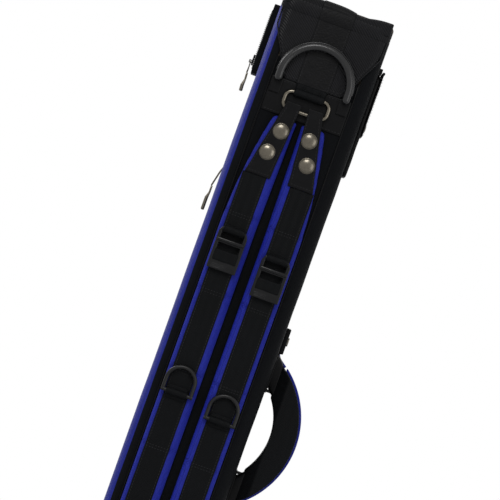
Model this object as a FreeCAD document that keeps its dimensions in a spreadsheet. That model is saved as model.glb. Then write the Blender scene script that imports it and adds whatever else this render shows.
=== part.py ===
import FreeCAD, Part
import os
import re

import Sketcher
from FreeCAD import Placement, Rotation, Vector

# A slim carry case for a telescope tube: a rigid boxed tube with a padded lining, covered panels,
# a hinged hood, two back straps on a ring, carry handles, pockets and their zips.
# Millimetres. +Z runs up the case, -Y is the strap side, +Y the pocket side, +X the side-handle side.
# The origin is the centre of the flat base.

SIZES = {
    # case body
    "case_width": 116, "case_depth": 90, "case_height": 850, "corner": 14,
    "skin": 3, "shell_wall": 4, "liner_wall": 4, "base_thick": 6,
    "boot_height": 60, "boot_wall": 2.5, "bottom_foam": 20, "rim_height": 4,
    "wrap_angle": 32, "piping_width": 2,
    # hood
    "lid_height": 14, "lid_gap": 0.4, "lid_round": 5, "lid_foam_drop": 6, "lid_foam_fit": 2,
    "leather": 2, "flap_seam_drop": 88, "flap_seam_half": 30, "flap_shoulder_drop": 45,
    "flap_shoulder_inset": 6.5, "flap_neck_drop": 68, "flap_clear": 1,
    "strip_half": 17.25, "strip_thick": 1.2, "tongue_length": 74, "tongue_half": 34,
    "catch_radius": 9, "catch_thick": 1.5, "catch_drop": 70,
    # yoke, ring and strap tabs
    "yoke_height": 36, "yoke_thick": 1.5,
    "ring_wire": 2, "ring_half": 23, "ring_rise": 9, "ring_corner": 7, "ring_drop": 106,
    "loop_half": 15, "loop_wall": 1.6, "fit": 0.1,
    "tab_thick": 3, "tab_top_drop": 108, "tab_bottom_drop": 188, "tab_inner_top": 4, "tab_outer_top": 19,
    "tab_inner_bottom": 9.5, "tab_outer_bottom": 36, "tab_sleeve": 9,
    "rivet_radius": 8, "rivet_cap": 2.4, "rivet_upper_drop": 139, "rivet_lower_drop": 163,
    "rivet_upper_x": 15, "rivet_lower_x": 21,
    # strap pads and webbing
    "pad_thick": 8.5, "pad_top_drop": 125, "pad_full_drop": 240, "pad_end_drop": 560,
    "pad_inner_top": 2.5, "pad_outer_top": 27, "pad_inner": 5, "pad_bow": 570,
    "web_half": 12.5, "web_thick": 1.5, "web_centre": 25, "web_slope": 36, "web_rise": 14,
    "anchor_half": 16, "anchor_height": 34, "anchor_thick": 3, "anchor_lap": 24,
    # ladder-lock buckles
    "buckle_half": 15, "buckle_length": 43, "buckle_thick": 4.5, "buckle_rail": 3.5, "buckle_bar": 3,
    "buckle_slot": 9, "buckle_cross": 4, "buckle_grip_slot": 8, "buckle_chamfer": 5,
    "buckle_left_drop": 249, "buckle_right_drop": 262, "buckle_loop_bore": 3, "buckle_loop_wall": 1.2,
    # D-rings
    "dee_half": 14.75, "dee_wire": 2, "dee_leg": 12, "dee_left_drop": 420, "dee_right_drop": 433,
    "keeper_half": 11, "keeper_height": 14,
    # top handle
    "grip_radius": 4.25, "grip_span": 35.5, "grip_leg": 6.5, "grip_drop": 88, "grip_gap": 0.35,
    "grip_tab_half": 5.5, "grip_tab_height": 16, "grip_tab_thick": 1.8,
    # side handle
    "side_drop": 434, "side_inner": 64, "side_outer": 90, "side_centre": 15, "side_half": 14,
    "side_neck": 5.5, "side_flare": 12, "side_start": 2, "knuckle_radius": 4, "knuckle_low": 46,
    "knuckle_high": 70, "pin_radius": 1.75, "pin_fit": 0.05, "pin_leg": 3, "stay_thick": 1.8,
    "stay_half": 11, "stay_inner": 42, "stay_outer": 84, "stay_pad": 5, "stay_pad_length": 27,
    "stay_rivet": 4.5, "welt_half": 3, "welt_rise": 2.5,
    # right-hand pouch
    "pouch_top_drop": 50, "pouch_bottom_drop": 160, "pouch_half": 24, "pouch_thick": 4,
    "flap_gap": 0.4, "pouch_flap_thick": 1.6, "pouch_flap_length": 66, "pouch_flap_half": 25,
    "snap_radius": 5, "snap_rise": 1.4,
    # left-hand pocket and front pocket
    "side_pocket_top": 18, "side_pocket_bottom": 92, "side_pocket_half": 22, "side_pocket_thick": 6,
    "front_pocket_top": 170, "front_pocket_rise": 20, "front_pocket_inset": 5,
    "front_pocket_thick": 19, "pocket_round": 6,
    # zips
    "zip_half": 5, "zip_tape": 1, "zip_side_top": 24, "zip_side_stop": 87, "zip_front_end": 14,
    "slider_half": 4, "slider_length": 11, "slider_thick": 1.8, "slider_gap": 0.3,
    "bail_reach": 1.2, "bail_fit": 0.35, "bail_wall": 0.8, "bail_half": 1,
    "side_slider_drop": 80, "front_slider_drop": 183,
    "link_half": 3.2, "link_wire": 1.1, "side_link_length": 12, "side_link_tilt": -3,
    "front_link_length": 29, "front_link_tilt": 13,
    "side_pull_length": 19, "front_pull_length": 26, "pull_thick": 2, "pull_half": 3,
}

doc = FreeCAD.newDocument("CarryCase")
sheet = doc.addObject("Spreadsheet::Sheet", "Sizes")
for row, (alias, value) in enumerate(SIZES.items(), start=1):
    sheet.set(f"A{row}", alias)
    sheet.set(f"B{row}", str(value))
    sheet.setAlias(f"B{row}", alias)
doc.recompute()

# Levels that several pieces share, each written once as words over the sizes above.
LEVELS = {
    "half_x": "(case_width / 2)",
    "half_y": "(case_depth / 2)",
    "mouth": "(case_height - lid_height)",
    "skin_top": "(case_height - lid_height - rim_height)",
    "flap_top_half": "(case_width / 2 - leather)",
    "flap_shoulder_half": "(case_width / 2 - flap_shoulder_inset)",
    "flap_neck_half": "(case_width / 2 - corner - piping_width - flap_clear)",
    "flap_face": "(case_depth / 2 + leather)",
    "yoke_face": "(case_depth / 2 + yoke_thick)",
    "ring_out": "(case_depth / 2 + yoke_thick + ring_wire + loop_wall + fit)",
    "pad_face": "(case_depth / 2 + pad_thick)",
    "pad_outer": "(case_width / 2 - corner - piping_width - fit)",
    "tab_face": "(case_depth / 2 + pad_thick + tab_thick)",
    "web_face": "(case_depth / 2 + pad_thick + web_thick)",
    "buckle_out": "(case_depth / 2 + pad_thick + web_thick + buckle_loop_bore + buckle_loop_wall)",
    "dee_out": "(case_depth / 2 + pad_thick + web_thick + dee_wire + fit + loop_wall)",
    "grip_out": "(case_depth / 2 + yoke_thick + grip_tab_thick + grip_gap + grip_radius)",
    "hinge_x": "(case_width / 2 + stay_thick + grip_gap + knuckle_radius)",
    "pouch_axis_x": "(case_width / 2 + pouch_thick + flap_gap + pouch_flap_thick / 2)",
    "side_link_x": "(case_width / 2 + side_pocket_thick + zip_tape + slider_gap + slider_thick + bail_reach)",
    "front_pocket_half": "(case_width / 2 - front_pocket_inset)",
    "front_pocket_low": "(boot_height + front_pocket_rise)",
    "web_low": "(boot_height + web_rise)",
    "front_link_x": "(case_width / 2 - front_pocket_inset + zip_tape + slider_gap + slider_thick + bail_reach)",
    "front_zip_y": "(case_depth / 2 + front_pocket_thick / 2)",
}


def sized(text):
    """Turn words over the named sizes into an expression that the document understands."""

    def from_levels(word):
        return LEVELS.get(word.group(), word.group())

    def from_sheet(word):
        return f"Sizes.{word.group()}" if word.group() in SIZES else word.group()

    return re.sub(r"[a-z_]+", from_sheet, re.sub(r"[a-z_]+", from_levels, str(text)))


def number(text):
    """The value that such words have now."""
    return float(sheet.evalExpression(sized(text)))


def bind(item, **sizes):
    """Bind properties of a document object; a double underscore stands for the dot in a path."""
    for path, text in sizes.items():
        item.setExpression(path.replace("__", "."), sized(text))
    return item


def place(item, x=0, y=0, z=0, turn=None):
    """Put an object at a place bound to the sizes, with an optional fixed turn."""
    if turn is not None:
        item.Placement = Placement(Vector(), turn)
    bind(item, Placement__Base__x=x, Placement__Base__y=y, Placement__Base__z=z)
    return item


def draw(sketch, outlines):
    """Draw closed outlines. A corner is (x, y) or (x, y, radius): a radius bends the run that
    leaves the corner into an arc, to the left of travel when positive, to the right when negative."""
    for outline in outlines:
        corners = [(number(corner[0]), number(corner[1])) for corner in outline]
        first = sketch.GeometryCount
        ends = []
        for index, corner in enumerate(outline):
            start = Vector(*corners[index], 0)
            stop = Vector(*corners[(index + 1) % len(corners)], 0)
            if len(corner) == 2:
                sketch.addGeometry(Part.LineSegment(start, stop), False)
                ends.append((1, 2))
                continue
            radius = number(corner[2])
            half = (stop - start) / 2
            rise = (radius * radius - half.Length ** 2) ** 0.5 if abs(radius) > half.Length else 0
            normal = Vector(-half.y, half.x, 0).normalize()
            side = 1 if radius > 0 else -1
            middle = start + half + normal * (side * rise)
            bulge = middle - normal * (side * abs(radius))
            sketch.addGeometry(Part.Arc(start, bulge, stop), False)
            ends.append((1, 2) if radius > 0 else (2, 1))
        for index, corner in enumerate(outline):
            here = first + index
            after = first + (index + 1) % len(outline)
            following = ends[(index + 1) % len(outline)][0]
            sketch.addConstraint(Sketcher.Constraint("Coincident", here, ends[index][1], after, following))
            for axis, text, value in zip("XY", corner, corners[index]):
                distance = Sketcher.Constraint(f"Distance{axis}", here, ends[index][0], value)
                mark = sketch.addConstraint(distance)
                sketch.renameConstraint(mark, f"{axis.lower()}{here}")
                sketch.setExpression(f"Constraints.{axis.lower()}{here}", sized(text))
            if len(corner) == 3:
                size = str(corner[2]).lstrip("-")
                mark = sketch.addConstraint(Sketcher.Constraint("Radius", here, number(size)))
                sketch.renameConstraint(mark, f"radius{here}")
                sketch.setExpression(f"Constraints.radius{here}", sized(size))


def rounded(low_x, high_x, low_y, high_y, radius):
    """Corners of a rectangle with equal rounds, anticlockwise."""
    left = f"({low_x}) + ({radius})"
    right = f"({high_x}) - ({radius})"
    low = f"({low_y}) + ({radius})"
    high = f"({high_y}) - ({radius})"
    return [(left, low_y), (right, low_y, radius), (high_x, low), (high_x, high, radius),
            (right, high_y), (left, high_y, radius), (low_x, high), (low_x, low, radius)]


def box_outline(low_x, high_x, low_y, high_y):
    return [(low_x, low_y), (high_x, low_y), (high_x, high_y), (low_x, high_y)]


def padded_body(name, plane, start, length, outlines):
    """A body padded from outlines. XY pads go up from start; XZ pads go towards -Y from y = -start;
    YZ pads go towards +X from x = start."""
    body = doc.addObject("PartDesign::Body", name)
    sketch = body.newObject("Sketcher::SketchObject", f"{name}_outline")
    origin = [feature for feature in body.Origin.OriginFeatures if feature.Role == f"{plane}_Plane"][0]
    sketch.AttachmentSupport = (origin, [""])
    sketch.MapMode = "FlatFace"
    bind(sketch, AttachmentOffset__Base__z=start)
    draw(sketch, outlines)
    pad = body.newObject("PartDesign::Pad", f"{name}_pad")
    pad.Profile = sketch
    bind(pad, Length=length)
    doc.recompute()
    return body


def soften(body, radius, wanted):
    """Round the edges of a body whose middle points pass the test."""
    edges = [f"Edge{index}" for index, edge in enumerate(body.Shape.Edges, start=1)
             if wanted(edge.valueAt((edge.FirstParameter + edge.LastParameter) / 2))]
    base = body.Tip
    fillet = body.newObject("PartDesign::Fillet", f"{body.Name}_round")
    fillet.Base = (base, edges)
    bind(fillet, Radius=radius)
    doc.recompute()
    return body


def cylinder(name, radius, height, x=0, y=0, z=0, along="Z"):
    turns = {"X": Rotation(Vector(0, 1, 0), 90), "Y": Rotation(Vector(1, 0, 0), -90), "Z": Rotation()}
    item = doc.addObject("Part::Cylinder", name)
    bind(item, Radius=radius, Height=height)
    return place(item, x, y, z, turns[along])


def block(name, low, high):
    """A box between two corners, each given in words."""
    item = doc.addObject("Part::Box", name)
    bind(item, Length=f"({high[0]}) - ({low[0]})", Width=f"({high[1]}) - ({low[1]})",
         Height=f"({high[2]}) - ({low[2]})")
    return place(item, *low)


def torus(name, radius, wire, sweep, turn, x=0, y=0, z=0):
    item = doc.addObject("Part::Torus", name)
    item.Angle3 = sweep
    bind(item, Radius1=radius, Radius2=wire)
    return place(item, x, y, z, turn)


def join(name, pieces):
    item = doc.addObject("Part::MultiFuse", name)
    item.Shapes = pieces
    item.Refine = True
    return item


def cut(name, base, tool):
    item = doc.addObject("Part::Cut", name)
    item.Base = base
    item.Tool = tool
    return item


def common(name, first, second):
    item = doc.addObject("Part::MultiCommon", name)
    item.Shapes = [first, second]
    return item


def group(name, pieces):
    """Separate solids that share one node."""
    item = doc.addObject("Part::Compound", name)
    item.Links = pieces
    return item


nodes = []


def node(item, label=None):
    """Keep an object as a named sub-part."""
    item.Label = label or item.Name
    nodes.append(item)
    return item


SIDES = (("left", -1), ("right", 1))
STAND_UP = Rotation(Vector(1, 0, 0), 90)


def tube(name, outer_x, outer_y, radius, wall, low, high):
    """A rounded rectangular tube."""
    inner = rounded(f"-({outer_x}) + ({wall})", f"({outer_x}) - ({wall})", f"-({outer_y}) + ({wall})",
                    f"({outer_y}) - ({wall})", f"({radius}) - ({wall})")
    outer = rounded(f"-({outer_x})", outer_x, f"-({outer_y})", outer_y, radius)
    return padded_body(name, "XY", low, f"({high}) - ({low})", [outer, inner])


def slab(name, outer_x, outer_y, radius, low, high):
    """A rounded rectangular block."""
    outline = rounded(f"-({outer_x})", outer_x, f"-({outer_y})", outer_y, radius)
    return padded_body(name, "XY", low, f"({high}) - ({low})", [outline])


def shell_pieces():
    """The boxed tube, its lining, foam, base, boot and mouth binding."""
    node(tube("core_shell", "half_x - skin", "half_y - skin", "corner - skin", "shell_wall",
              "base_thick", "skin_top"))
    node(tube("liner", "half_x - skin - shell_wall", "half_y - skin - shell_wall",
              "corner - skin - shell_wall", "liner_wall", "base_thick", "skin_top"))
    node(slab("bottom_foam_pad", "half_x - skin - shell_wall - liner_wall",
              "half_y - skin - shell_wall - liner_wall", "corner - skin - shell_wall - liner_wall",
              "base_thick", "base_thick + bottom_foam"))
    node(slab("base_plate", "half_x", "half_y", "corner", "0", "base_thick"))
    node(tube("base_boot", "half_x + boot_wall", "half_y + boot_wall", "corner + boot_wall",
              "boot_wall", "0", "boot_height"))
    node(tube("mouth_binding", "half_x", "half_y", "corner", "skin + shell_wall + liner_wall",
              "skin_top", "mouth"))


def corner_point(side_x, side_y, inset):
    """Where the wrapped side panel stops on a corner, at the wrap angle from the flat face."""
    reach = f"(corner - {inset})"
    return (f"{side_x} * (half_x - corner + {reach} * sin(wrap_angle))",
            f"{side_y} * (half_y - corner + {reach} * cos(wrap_angle))")


def skin_body(name, outline):
    return node(padded_body(name, "XY", "base_thick", "skin_top - base_thick", [outline]))


def cover_panels():
    """The covering, in panels that meet at the pipings and on the corners."""
    flat = "(half_x - corner)"
    inner_x = "(half_x - skin)"
    inner_y = "(half_y - skin)"
    inner = "corner - skin"
    rear_edge = f"({flat} - piping_width)"
    node(padded_body("rear_panel", "XZ", inner_y, "skin", [
        box_outline(f"-{rear_edge}", rear_edge, "base_thick", "skin_top")]))
    skin_body("rear_corner_strip", [
        (f"-{flat}", "-half_y", "-corner"), corner_point(-1, -1, "0"),
        (*corner_point(-1, -1, "skin"), inner), (f"-{flat}", f"-{inner_y}")])
    skin_body("left_side_panel", [
        (*corner_point(-1, -1, "0"), "-corner"), ("-half_x", "-half_y + corner"),
        ("-half_x", "half_y - corner", "-corner"), corner_point(-1, 1, "0"),
        (*corner_point(-1, 1, "skin"), inner), (f"-{inner_x}", "half_y - corner"),
        (f"-{inner_x}", "-half_y + corner", inner), corner_point(-1, -1, "skin")])
    skin_body("right_side_panel", [
        (flat, "-half_y", "corner"), ("half_x", "-half_y + corner"),
        ("half_x", "half_y - corner", "corner"),
        (flat, "half_y"), (flat, inner_y, f"-({inner})"), (inner_x, "half_y - corner"),
        (inner_x, "-half_y + corner", f"-({inner})"), (flat, f"-{inner_y}")])
    skin_body("front_panel", [
        (flat, "half_y"), (f"-{flat}", "half_y", "corner"), (*corner_point(-1, 1, "0"),),
        (*corner_point(-1, 1, "skin"), f"-({inner})"), (f"-{flat}", inner_y), (flat, inner_y)])
    pipings = []
    for label, side in SIDES:
        near = f"{side} * ({flat} - piping_width)"
        far = f"{side} * {flat}"
        low, high = (far, near) if side < 0 else (near, far)
        pipings.append(padded_body(f"piping_{label}", "XY", "boot_height",
                                   "case_height - flap_neck_drop - boot_height", [[
            (low, "-half_y", "piping_width / 2"),
            (f"({low}) + piping_width / 2", "-half_y - piping_width / 2", "piping_width / 2"),
            (high, "-half_y"), (high, f"-{inner_y}"), (low, f"-{inner_y}")]]))
    node(group("rear_pipings", pipings))


def flap_outline(top):
    """The hood's back, wide at the top and drawn in to its seam."""
    levels = (("flap_top_half", top), ("flap_shoulder_half", "case_height - flap_shoulder_drop"),
              ("flap_neck_half", "case_height - flap_neck_drop"),
              ("flap_seam_half", "case_height - flap_seam_drop"))
    left = [(f"-{half}", height) for half, height in levels]
    right = [(half, height) for half, height in reversed(levels)]
    return left + right


def hood_pieces():
    """The hood's fixed back, and the lid that turns at the rear top edge."""
    wrap = tube("hood_back_wrap", "half_x + leather", "half_y + leather", "corner + leather", "leather",
                "case_height - flap_seam_drop", "mouth - lid_gap")
    shape = padded_body("hood_back_shape", "XZ", "half_y - corner", "corner + 2 * leather",
                        [flap_outline("mouth - lid_gap")])
    node(common("hood_back", wrap, shape))
    node(padded_body("hood_back_strip", "XZ", "flap_face", "strip_thick", [
        box_outline("-strip_half", "strip_half", "case_height - flap_seam_drop", "mouth - lid_gap")]))
    lid = slab("lid_board", "half_x", "half_y", "corner", "mouth + lid_gap", "case_height - leather")
    node(soften(lid, "lid_round", lambda point: point.z > number("case_height - leather") - 0.01))
    node(slab("lid_foam_pad", "half_x - skin - shell_wall - liner_wall - lid_foam_fit",
              "half_y - skin - shell_wall - liner_wall - lid_foam_fit", "corner - lid_foam_fit",
              "mouth - lid_foam_drop", "mouth + lid_gap"))
    node(padded_body("hood_cover", "YZ", "-flap_top_half", "2 * flap_top_half", [[
        ("-flap_face", "mouth + lid_gap"), ("-half_y", "mouth + lid_gap"),
        ("-half_y", "case_height - leather"), ("half_y - lid_round", "case_height - leather"),
        ("half_y - lid_round", "case_height"), ("-flap_face + leather", "case_height", "leather"),
        ("-flap_face", "case_height - leather")]]))
    node(padded_body("hood_tongue", "XZ", "-half_y - leather - lid_gap", "leather", [[
        ("-tongue_half", "mouth - tongue_length + corner"),
        ("-tongue_half + corner", "mouth - tongue_length"),
        ("tongue_half - corner", "mouth - tongue_length"),
        ("tongue_half", "mouth - tongue_length + corner"),
        ("tongue_half", "case_height - leather - lid_round"),
        ("-tongue_half", "case_height - leather - lid_round")]]))
    node(cylinder("catch_magnet", "catch_radius", "catch_thick", 0, "half_y + leather + lid_gap",
                  "mouth - catch_drop + catch_radius", "Y"))


def yoke_and_ring():
    """The yoke across the back, with the ring that both straps hang from."""
    yoke_top = "case_height - flap_seam_drop"
    node(padded_body("yoke_band", "XZ", "half_y", "yoke_thick", [
        box_outline("-half_x + corner + piping_width", "half_x - corner - piping_width",
                    f"{yoke_top} - yoke_height", yoke_top)]))
    pieces = []
    straight = "(ring_half - ring_corner)"
    post = "(ring_rise - ring_corner)"
    quarter = (("upper_right", 1, 1, 0), ("upper_left", -1, 1, 90), ("lower_left", -1, -1, 180),
               ("lower_right", 1, -1, 270))
    for label, side_x, side_z, start in quarter:
        turn = STAND_UP * Rotation(Vector(0, 0, 1), start)
        pieces.append(torus(f"ring_{label}", "ring_corner", "ring_wire", 90, turn, f"{side_x} * {straight}",
                            "-ring_out", f"case_height - ring_drop + {side_z} * {post}"))
    for label, side in (("upper", 1), ("lower", -1)):
        pieces.append(cylinder(f"ring_bar_{label}", "ring_wire", f"2 * {straight}", f"-{straight}",
                               "-ring_out", f"case_height - ring_drop + {side} * ring_rise", "X"))
    for label, side in SIDES:
        pieces.append(cylinder(f"ring_post_{label}", "ring_wire", f"2 * {post}", f"{side} * ring_half",
                               "-ring_out", f"case_height - ring_drop - {post}"))
    node(join("strap_ring", pieces))
    bar = "case_height - ring_drop + ring_rise"
    foot = block("ring_loop_foot", ("-loop_half", "-yoke_face - loop_wall", f"{bar}"),
                 ("loop_half", "-yoke_face", "case_height - flap_seam_drop"))
    where = ("2 * loop_half", "-loop_half", "-ring_out", bar, "X")
    eye = cylinder("ring_loop_eye", "ring_wire + fit + loop_wall", *where)
    hole = cylinder("ring_loop_hole", "ring_wire + fit", *where)
    node(cut("ring_loop", join("ring_loop_body", [foot, eye]), hole))


def strap_pieces(label, side):
    """One back strap: its tab on the ring, its pad and its webbing."""
    top = "case_height - tab_top_drop"
    bottom = "case_height - tab_bottom_drop"

    def mirror(points):
        turned = [(f"{side} * ({point[0]})", *point[1:]) for point in points]
        return turned if side > 0 else list(reversed(turned))

    plate = padded_body(f"tab_plate_{label}", "XZ", "pad_face", "tab_thick", [mirror([
        ("tab_inner_top", top), ("tab_inner_bottom", bottom), ("tab_outer_bottom", bottom),
        ("tab_outer_top", top)])])
    bar = "case_height - ring_drop - ring_rise"
    middle = f"({side} * (tab_inner_top + tab_outer_top) / 2)"
    start = f"{middle} - tab_sleeve / 2"
    where = ("tab_sleeve", start, "-ring_out", bar, "X")
    eye = cylinder(f"tab_eye_{label}", "ring_wire + fit + loop_wall", *where)
    neck = block(f"tab_neck_{label}", (start, "-tab_face", f"{bar} - ring_wire - loop_wall"),
                 (f"{middle} + tab_sleeve / 2", "-ring_out", f"{bar} + ring_wire + loop_wall"))
    hole = cylinder(f"tab_hole_{label}", "ring_wire + fit", *where)
    node(cut(f"strap_tab_{label}", join(f"tab_body_{label}", [plate, eye, neck]), hole))

    full = "case_height - pad_full_drop"
    end = "case_height - pad_end_drop"
    points = [("pad_inner_top", "case_height - pad_top_drop"), ("pad_inner", full), ("pad_inner", end),
              ("pad_outer", end), ("pad_outer", full, "pad_bow"),
              ("pad_outer_top", "case_height - pad_top_drop")]
    if side < 0:
        points = [(f"-{x}", *rest) for x, *rest in reversed(points)]
        points[0] = (*points[0][:2], "pad_bow")
        points[1] = points[1][:2]
    node(padded_body(f"strap_pad_{label}", "XZ", "half_y", "pad_thick", [points]))

    slope_top = f"{end} + web_thick"
    slope_low = f"{end} - web_slope"
    low = "web_low"
    node(padded_body(f"strap_webbing_{label}", "YZ", f"{side} * web_centre - web_half", "2 * web_half", [[
        ("-pad_face", bottom), ("-web_face", bottom), ("-web_face", f"{end} - web_thick"),
        ("-half_y - web_thick", f"{slope_low} - web_thick"), ("-half_y - web_thick", low), ("-half_y", low),
        ("-half_y", slope_low), ("-pad_face", f"{end} - web_thick / 4")]]))


def strap_anchors():
    """Leather anchors over the low ends of both webbings."""
    pieces = []
    for label, side in SIDES:
        high = "web_low + anchor_lap"
        pieces.append(block(
            f"anchor_{label}", (f"{side} * web_centre - anchor_half", "-half_y - web_thick - anchor_thick",
                                f"{high} - anchor_height"),
            (f"{side} * web_centre + anchor_half", "-half_y - web_thick", high)))
    node(group("strap_anchors", pieces))


def rivets():
    """Four domed rivet caps, two on each strap tab."""
    caps = []
    for label, side in SIDES:
        for row, x, drop in (("upper", "rivet_upper_x", "rivet_upper_drop"),
                             ("lower", "rivet_lower_x", "rivet_lower_drop")):
            cap = doc.addObject("Part::Cone", f"rivet_{label}_{row}")
            bind(cap, Radius1="rivet_radius", Radius2="rivet_radius * 0.6", Height="rivet_cap")
            caps.append(place(cap, f"{side} * {x}", "-tab_face", f"case_height - {drop}",
                              Rotation(Vector(1, 0, 0), 90)))
    node(group("strap_rivets", caps))


def webbing_eye(name, half, bore, wall, out, x, height, drop_face):
    """A sewn webbing eye round a bar, standing on the strap webbing."""
    where = (f"2 * {half}", f"{x} - {half}", f"-{out}", height, "X")
    eye = cylinder(f"{name}_eye", f"{bore} + {wall}", *where)
    foot = block(f"{name}_foot", (f"{x} - {half}", f"-web_face - {wall}", f"{height} - {drop_face}"),
                 (f"{x} + {half}", "-web_face", f"{height} + {drop_face}"))
    hole = cylinder(f"{name}_hole", bore, *where)
    return cut(name, join(f"{name}_body", [eye, foot]), hole)


def buckles():
    """Ladder-lock buckles, each hung by its top bar in a webbing eye."""
    eyes = []
    for label, side in SIDES:
        x = f"{side} * web_centre"
        axis = f"case_height - buckle_{label}_drop"
        top = f"({axis} + buckle_bar / 2)"
        low = f"({top} - buckle_length)"
        inner = "(buckle_half - buckle_rail)"
        slot_top = f"({axis} - buckle_bar / 2)"
        cross = f"({slot_top} - buckle_slot)"
        grip = f"({cross} - buckle_cross)"
        shoulder = f"{top} - buckle_chamfer"
        outer = [(f"{x} - buckle_half", low), (f"{x} + buckle_half", low), (f"{x} + buckle_half", shoulder),
                 (f"{x} + buckle_half - buckle_chamfer / 2", top),
                 (f"{x} - buckle_half + buckle_chamfer / 2", top), (f"{x} - buckle_half", shoulder)]
        slots = [box_outline(f"{x} - {inner}", f"{x} + {inner}", cross, slot_top),
                 box_outline(f"{x} - {inner}", f"{x} + {inner}", f"{grip} - buckle_grip_slot", grip)]
        node(padded_body(f"buckle_{label}", "XZ", "buckle_out - buckle_thick / 2", "buckle_thick",
                         [outer, *slots]))
        eyes.append(webbing_eye(f"buckle_eye_{label}", "(buckle_half - buckle_rail - lid_gap)",
                                "buckle_loop_bore", "buckle_loop_wall", "buckle_out", x, axis,
                                "buckle_bar"))
    node(group("buckle_eyes", eyes))


def dee_rings():
    """D-rings, each hung by its straight bar in a webbing keeper."""
    keepers = []
    for label, side in SIDES:
        x = f"{side} * web_centre"
        bar = f"case_height - dee_{label}_drop"
        bow = torus(f"dee_bow_{label}", "dee_half", "dee_wire", 180, STAND_UP, x, "-dee_out",
                    f"{bar} + dee_leg")
        legs = [cylinder(f"dee_leg_{label}_{name}", "dee_wire", "dee_leg", f"{x} + {way} * dee_half",
                         "-dee_out", bar) for name, way in SIDES]
        rod = cylinder(f"dee_bar_{label}", "dee_wire", "2 * (dee_half + dee_wire)",
                       f"{x} - dee_half - dee_wire", "-dee_out", bar, "X")
        node(join(f"dee_ring_{label}", [bow, *legs, rod]))
        keepers.append(webbing_eye(f"dee_keeper_{label}", "keeper_half", "(dee_wire + fit)", "loop_wall",
                                   "dee_out", x, bar, "keeper_height / 2"))
    node(group("dee_keepers", keepers))


def top_handle():
    """A rolled leather bow with ball ends, and its two sewn tabs."""
    height = "case_height - grip_drop"
    pieces = [torus("grip_bow", "grip_span", "grip_radius", 180, STAND_UP, 0, "-grip_out",
                    f"{height} + grip_leg")]
    tabs = []
    for label, side in SIDES:
        x = f"{side} * grip_span"
        pieces.append(cylinder(f"grip_leg_{label}", "grip_radius", "grip_leg", x, "-grip_out", height))
        ball = doc.addObject("Part::Sphere", f"grip_end_{label}")
        bind(ball, Radius="grip_radius")
        pieces.append(place(ball, x, "-grip_out", height))
        tabs.append(block(f"grip_tab_{label}", (f"{x} - grip_tab_half", "-yoke_face - grip_tab_thick",
                                                f"{height} - grip_tab_height"),
                          (f"{x} + grip_tab_half", "-yoke_face", height)))
    node(join("top_handle", pieces))
    node(group("top_handle_tabs", tabs))


def side_handle():
    """The bowed carry handle on the right, its welt, and the stays and wire pins that hold it."""
    middle = "case_height - side_drop"
    start = "(hinge_x + side_start)"
    where = ("2 * side_half", "side_centre", "-side_half", middle, "Y")
    bow = cut("side_bow", cylinder("side_bow_outer", "side_outer", *where),
              cylinder("side_bow_inner", "side_inner", *where))
    plan = padded_body("side_plan", "XY", f"{middle} - side_outer", "2 * side_outer", [[
        (start, "-side_neck"), (f"{start} + side_flare", "-side_half"),
        ("side_centre + side_outer + side_flare", "-side_half"),
        ("side_centre + side_outer + side_flare", "side_half"), (f"{start} + side_flare", "side_half"),
        (start, "side_neck")]])
    band = common("side_band", bow, plan)
    knuckles = []
    bores = []
    pins = []
    stays = []
    studs = []
    for label, way in (("lower", -1), ("upper", 1)):
        near = f"{middle} + {way} * knuckle_low"
        far = f"{middle} + {way} * knuckle_high"
        low, high = (far, near) if way < 0 else (near, far)
        knuckles.append(cylinder(f"knuckle_{label}", "knuckle_radius", f"({high}) - ({low})",
                                 "hinge_x", 0, low))
        link = block(f"knuckle_web_{label}", ("hinge_x", "-knuckle_radius / 2", low),
                     (f"{start} + knuckle_radius", "knuckle_radius / 2", high))
        knuckles.append(link)
        bores.append(cylinder(f"knuckle_bore_{label}", "pin_radius + pin_fit", f"({high}) - ({low})",
                              "hinge_x", 0, low))
        pin_low = f"({low}) - grip_gap - pin_leg"
        pin_high = f"({high}) + grip_gap + pin_leg"
        wire = [cylinder(f"pin_rod_{label}", "pin_radius", f"({pin_high}) - ({pin_low})",
                         "hinge_x", 0, pin_low)]
        for end, foot in (("low", pin_low), ("high", f"{pin_high} - pin_leg")):
            wire.append(block(f"pin_leg_{label}_{end}", ("half_x + stay_thick", "-pin_radius", foot),
                              ("hinge_x", "pin_radius", f"{foot} + pin_leg")))
        pins.append(join(f"pin_{label}", wire))
        inner = f"{middle} + {way} * stay_inner"
        outer = f"{middle} + {way} * stay_outer"
        crown = f"{middle} + {way} * (stay_outer + stay_pad_length)"
        plate_low, plate_high = (outer, inner) if way < 0 else (inner, outer)
        crown_low, crown_high = (crown, outer) if way < 0 else (outer, crown)
        stays.append(join(f"stay_{label}", [
            block(f"stay_plate_{label}", ("half_x", "-stay_half", plate_low),
                  ("half_x + stay_thick", "stay_half", plate_high)),
            block(f"stay_crown_{label}", ("half_x", "-stay_half", crown_low),
                  ("half_x + stay_pad", "stay_half", crown_high))]))
        studs.append(cylinder(f"stay_rivet_{label}", "stay_rivet", "snap_rise", "half_x + stay_pad", 0,
                              f"{middle} + {way} * (stay_outer + stay_pad_length / 2)", "X"))
    body = join("side_handle_body", [band, *knuckles])
    node(cut("side_handle", body, join("side_bores", bores)))
    node(group("side_handle_pins", pins))
    node(group("side_handle_stays", stays))
    node(group("side_handle_rivets", studs))
    where = ("2 * welt_half", "side_centre", "-welt_half", middle, "Y")
    welt_ring = cut("welt_ring", cylinder("welt_outer", "side_outer + welt_rise", *where),
                    cylinder("welt_inner", "side_outer", *where))
    reach = "(side_outer + welt_rise)"
    window = block("welt_window", (f"{start} + side_flare / 2", "-side_half", f"{middle} - {reach}"),
                   ("side_centre + side_outer + side_flare", "side_half", f"{middle} + {reach}"))
    node(common("side_handle_welt", welt_ring, window))


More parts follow.
